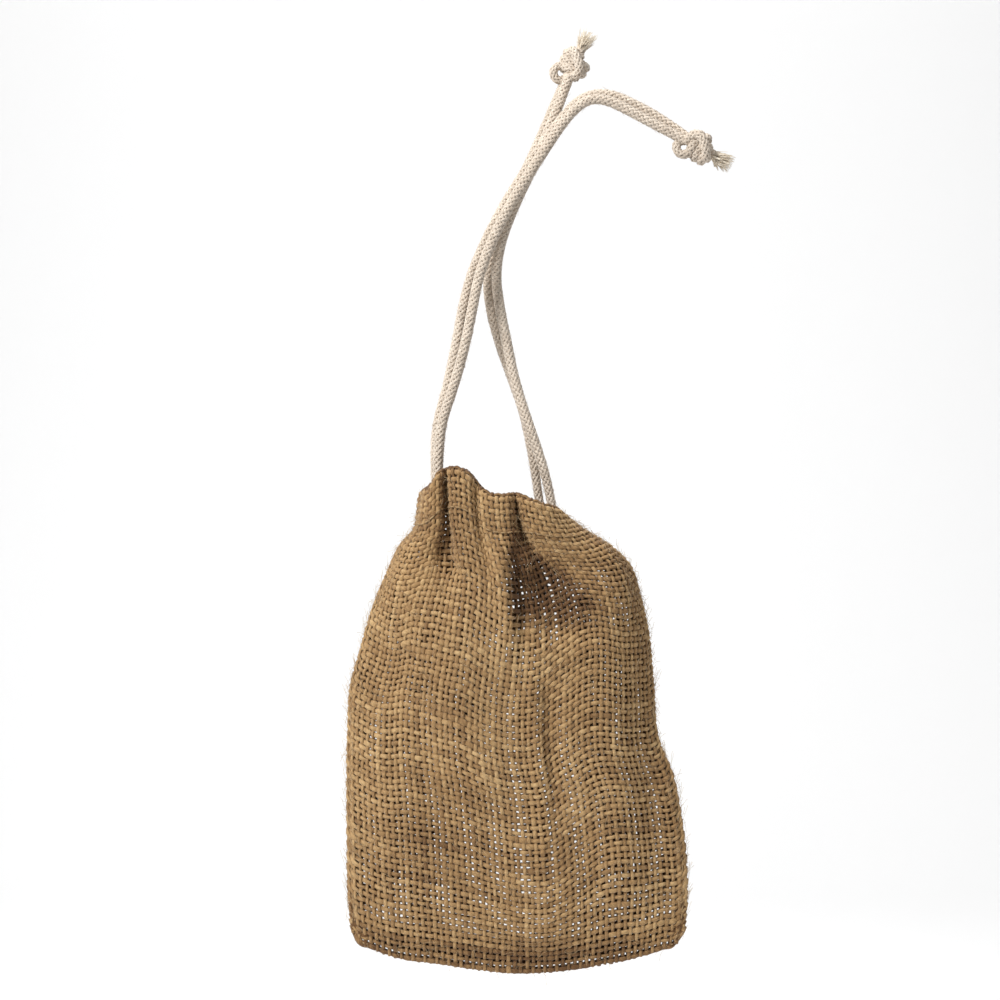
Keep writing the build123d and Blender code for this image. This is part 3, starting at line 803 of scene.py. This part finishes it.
def makeAllowances():
    # the yarns that lie only inside the seams: two or three along each side, five along the bottom
    half, pitch, top = cloth["width"] / 2, cloth["pitch"], cloth["height"] - cloth["seamTop"]
    sheets = [panels["front_panel"][0], panels["back_panel"][0]]
    beyond = half + pitch * np.array([0.5, 1.5])
    for name, way, places, ends in (("left_seam_allowance", "warp", -beyond, (0.0, top)),
                                    ("right_seam_allowance", "warp", beyond, (0.0, top)),
                                    ("bottom_seam_allowance", "weft", -pitch * (np.arange(5) + 0.5),
                                     (-half + 1, half - 1))):
        data = joined([yarnFamily(sheet, way, places, ends) for sheet in sheets])
        addPiece(name + "_yarns", data, juteYarn, "pouch", "jute_turned_edge", name)


makeAllowances()
print("hems and allowances made")

fuzz = {"count": 1500, "rings": 6, "radius": 0.045, "long": (1.5, 5.5), "stand": (0.3, 1.5)}


def makeFuzz(name, sheet):
    # loose jute fibres: each lies along the cloth and lifts off it by stand u^1.5, with a random bend
    count, rings = fuzz["count"], fuzz["rings"]
    half, height = cloth["width"] / 2, cloth["height"]
    s, t = dice.uniform(-half + 1, half - 1, count), dice.uniform(0.5, height - 0.5, count)
    side = dice.random(count) < 0.3                     # more of them show at the outline
    s[side] = np.where(dice.random(side.sum()) < 0.5, -1, 1) * (half - dice.uniform(0, 4, side.sum()))
    order = np.argsort(t)
    s, t = s[order], t[order]
    u = np.linspace(0, 1, rings)[None, :, None]
    lines, normals = np.empty((count, rings, 3)), np.empty((count, rings, 3))
    block = 100         # the pairs' diagonal is all that is used, so they are read in small blocks
    for i in range(0, count, block):
        pairs = clothAt(sheet, s[i:i + block], t[i:i + block])
        centre, across, up, out = (np.einsum("iik->ik", a)[:, None] for a in pairs)
        n = len(centre)
        heading = dice.uniform(0, 2 * np.pi, (n, 1, 1)) + dice.uniform(-1.2, 1.2, (n, 1, 1)) * u
        long, stand = dice.uniform(*fuzz["long"], (n, 1, 1)), dice.uniform(*fuzz["stand"], (n, 1, 1))
        lines[i:i + n] = (centre + long * u * (np.cos(heading) * across + np.sin(heading) * up)
                          + out * (0.5 + stand * u ** 1.5))
        normals[i:i + n] = across
    thick = np.full((count, rings), fuzz["radius"])
    tone = 0.3 * dice.random((count, 1)) + np.zeros((1, rings))
    data = tubes(lines, normals + 0.3, thick, thick, 3, tone)
    return addPiece(name, data, juteHair, "pouch", "jute_cloth")


hairs = {side: makeFuzz(side + "_panel_fuzz", panels[side + "_panel"][0]) for side in ("front", "back")}

thread = {
    "radius": 0.24, "stitch": 2.8, "channelBelowRim": 11.5, "fromSeam": 1.4, "step": 0.25,
    "dip": (1.7, 0.9),          # how high it arches and how deep it goes in the channel rows
    "seamHalf": 1.25,           # how far it stands off the middle of a seam
}


def threadTube(line, normal):
    count = len(line)
    even = np.full((1, count), thread["radius"])
    return tubes(line[None], normal[None], even, even, 5, 0.3 + wander(1, count, 0.1, 20))


def makeStitching():
    # Lockstitch: the thread lies on the cloth for one stitch and dips into the needle hole at its end,
    # height = arch |sin(pi run / stitch)|^0.5 - deep over the cloth.
    half, height, stitch = cloth["width"] / 2, cloth["height"], thread["stitch"]
    bump = lambda run: np.abs(np.sin(np.pi * run / stitch)) ** 0.5
    arch, deep = thread["dip"]
    for side in ("front", "back"):
        sheet = panels[side + "_panel"][0]
        run = np.arange(-half + 1.5, half - 1.5, thread["step"])
        centre, across, up, out = clothAt(sheet, run, [height - thread["channelBelowRim"]])
        line = centre[:, 0] + out[:, 0] * (arch * bump(run) - deep)[:, None]
        addPiece(side + "_channel_thread", threadTube(line, up[:, 0]), seamThread, "pouch", "sewing_thread",
                 side + "_channel_stitching")
    sheet = panels["front_panel"][0]
    for name, way, place in (("left_seam_stitching", "t", -half - thread["fromSeam"]),
                             ("right_seam_stitching", "t", half + thread["fromSeam"]),
                             ("bottom_seam_stitching", "s", thread["fromSeam"])):
        if way == "t":
            run = np.arange(2.0, height - cloth["seamTop"], thread["step"])
            line = clothAt(sheet, [place], run)[0][0]
        else:
            run = np.arange(-half + 4, half - 4, thread["step"])
            line = clothAt(sheet, run, [place])[0][:, 0]
        parts = []
        for face in (-1, 1):
            sideLine = line.copy()
            sideLine[:, 1] = face * thread["seamHalf"] * bump(run)
            parts.append(threadTube(sideLine, np.broadcast_to([0.0, 1.0, 0.0], line.shape)))
        addPiece(name.replace("stitching", "thread"), joined(parts), seamThread, "pouch", "sewing_thread",
                 name)


makeStitching()
print("stitching made")

# Each cord's loop round the mouth, inside the channel: front half, mirrored in Y for the back half.
channelLoops = {
    "left": [(-12.4, -3.4, -69.0), (-8.5, -5.3, -72.0), (-2, -5.5, -74.0), (5, -5.4, -75.6),
             (12, -5.3, -77.4), (17.6, -4.8, -79.2), (21.4, -3.0, -80.6), (22.4, -1.0, -81.0)],
    "right": [(21.2, -3.4, -79.2), (17.0, -5.1, -77.0), (12, -5.4, -74.2), (5, -5.5, -72.0),
              (-1, -5.4, -70.4), (-6, -4.9, -68.8), (-9.6, -3.2, -67.8), (-10.6, -1.0, -67.6)],
}


def makeChannelRuns():
    for side, route in (("left", leftRoute), ("right", rightRoute)):
        half = np.array(channelLoops[side], float)
        front, back = (strandPoints(route, sign)[0] for sign in (-1, 1))
        points = np.concatenate([front[None], half, half[::-1] * (1, -1, 1), back[None]])
        line, length = splineLine(points, braid["step"])
        data = braidAlong(line, braid["diameter"] / 2)
        name = side + "_drawstring_channel_run"
        addPiece(name + "_braid", data, cottonYarn, "pouch", "cotton_cord", name)
        print(name, "length", round(length, 1))


makeChannelRuns()

# Knots: both strands go in, two and a half turns go round them, and the frayed ends come out.
knots = {
    "left": {"middle": (70.8, -5.2, 44.4), "turn": -30.0, "mirror": 1},
    "right": {"middle": (31.2, 6.3, 72.2), "turn": 65.0, "mirror": -1},
}
wrap = {"turns": 2.7, "radius": 3.5, "length": 6.0, "cord": 1.5}
knotRoutes = [      # (ahead, across, deep) from the knot's middle, and how thick against the cord
    # the crossing that ties it down, over the front from one side to the other
    (((-4.6, -1.0, -1.6), (-4.0, 2.6, -4.2), (-0.6, 2.4, -5.6), (2.4, -0.6, -5.4), (4.2, -3.0, -3.0),
      (3.6, -1.4, 0.2)), 0.94),
    # slack loop beside the knot
    (((-1.6, -3.2, -1.4), (-3.4, -5.6, -1.6), (-6.4, -4.4, -1.4), (-6.8, -1.6, -0.8),
      (-3.8, 0.2, -0.2)), 0.92),
    # the two strands inside the turns
    (((-4.6, 0.3, -1.7), (0, 0, -1.3), (5.2, 0, -1.5)), 1.0),
    (((-4.6, 0.3, 1.7), (0, 0, 1.3), (5.2, 0, 1.5)), 1.0),
]
fray = {
    "length": 8.2, "start": 4.2, "spread": (1.15, 3.0), "apart": 1.5, "rings": 9,
    "kinds": ((16, 0.30, 0.8), (110, 0.10, 1.0)),       # plies, then fibres: how many, how thick, how long
}


def makeKnots():
    made = {}
    for side, knot in knots.items():
        angle = math.radians(knot["turn"])
        ahead = np.array([math.cos(angle), 0, math.sin(angle)])
        acrossTail = np.array([-math.sin(angle), 0, math.cos(angle)]) * knot["mirror"]
        middle, depth = np.array(knot["middle"]), np.array([0.0, 1.0, 0.0])
        place = lambda a, b, c: (middle + np.multiply.outer(a, ahead) + np.multiply.outer(b, acrossTail)
                                 + np.multiply.outer(c, depth))
        # helix, ahead along the tail and radius round it, a little loose and oval
        whole = 2 * np.pi * wrap["turns"]
        turn = np.linspace(0, whole, int(whole * wrap["radius"] / braid["step"]))
        loose = wrap["radius"] * (1 + 0.06 * np.sin(1.7 * turn))
        helix = place(-wrap["length"] / 2 + wrap["length"] * turn / turn[-1] + 0.5 * np.sin(turn),
                      loose * np.cos(turn + 0.8), 0.86 * loose * np.sin(turn + 0.8))
        parts = [braidAlong(helix, wrap["cord"])]
        for route, share in knotRoutes:
            line, _ = splineLine(place(*np.array(route).T), braid["step"])
            parts.append(braidAlong(line, wrap["cord"] * share))
        name, body = side + "_drawstring_knot", side + "_drawstring"
        knotPiece = addPiece(name + "_braid", joined(parts), cottonYarn, body, "cotton_cord", name)
        # frayed ends: thick plies and fine fibres that fan out and curl
        parts = []
        along = np.linspace(0, 1, fray["rings"])[None]
        narrow, broad = fray["spread"]
        for way in (-1, 1):
            for count, radius, reach in fray["kinds"]:
                start = dice.uniform(0, 2 * np.pi, (count, 1))
                spot = np.sqrt(dice.uniform(0, 1, (count, 1)))
                long = fray["length"] * reach * dice.uniform(0.55, 1.0, (count, 1))
                fan = spot * (narrow + (broad - narrow) * along ** 1.6)
                curl = 0.5 * np.sin(3 * along + dice.uniform(0, 6.3, (count, 1))) * along
                turn = start + 0.6 * along
                line = place(fray["start"] + long * along - 0.5 * spot * along ** 2,
                             fan * np.cos(turn) + 0.7 * curl,
                             fray["apart"] * way * (1 + 0.35 * along) + 0.8 * fan * np.sin(turn) + 0.5 * curl)
                thick = np.full(line.shape[:2], radius) * (1 - 0.55 * along ** 3)
                tone = 0.15 + 0.3 * dice.random((count, 1)) + 0 * along
                parts.append(tubes(line, np.broadcast_to(acrossTail, line.shape), thick, thick, 4, tone))
        tipPiece = addPiece(body + "_tip_fibres", joined(parts), cottonFray, body, "cotton_fray",
                            body + "_frayed_tips")
        made[side] = [knotPiece, tipPiece]
    return made


knotPieces = makeKnots()
print("knots tied")


# Goes through the strands and the panels, but does nothing with them.
def declare():
    for name, (piece, line, length) in strands.items():
        side = name.split("_")[0]
    for side in ("front", "back"):
        sheet, warp, weft = panels[side + "_panel"]


declare()
